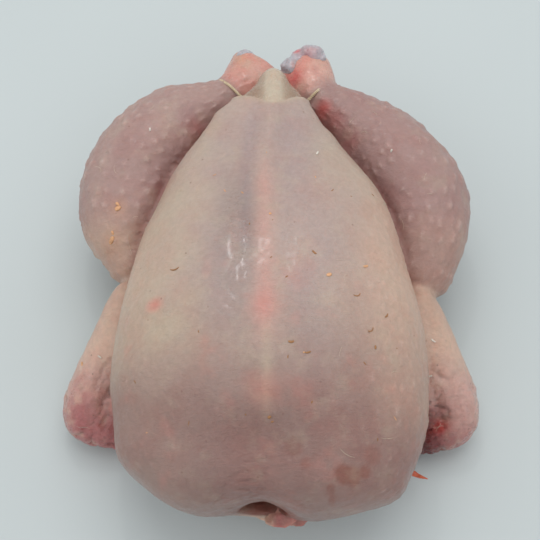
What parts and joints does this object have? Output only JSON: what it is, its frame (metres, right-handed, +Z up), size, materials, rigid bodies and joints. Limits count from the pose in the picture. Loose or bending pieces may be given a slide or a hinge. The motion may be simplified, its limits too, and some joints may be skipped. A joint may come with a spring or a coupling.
{
  "type": "whole raw chicken",
  "caption": "Whole raw chicken, plucked and dressed, lying breast up with its shanks held together by an elastic.",
  "frame": {"origin": "centre of the chicken's bounding box at the level it rests on", "axes": "+X across the breast, +Y from the neck to the tail, +Z up"},
  "size_m": [0.2064, 0.2468, 0.1073],
  "materials": {
    "raw_skin": "moist raw poultry skin",
    "elastic_cream": "matt cream elastic"
  },
  "bodies": {
    "root": {"chicken": "raw_skin", "truss_elastic": "elastic_cream"}
  },
  "joints": []
}
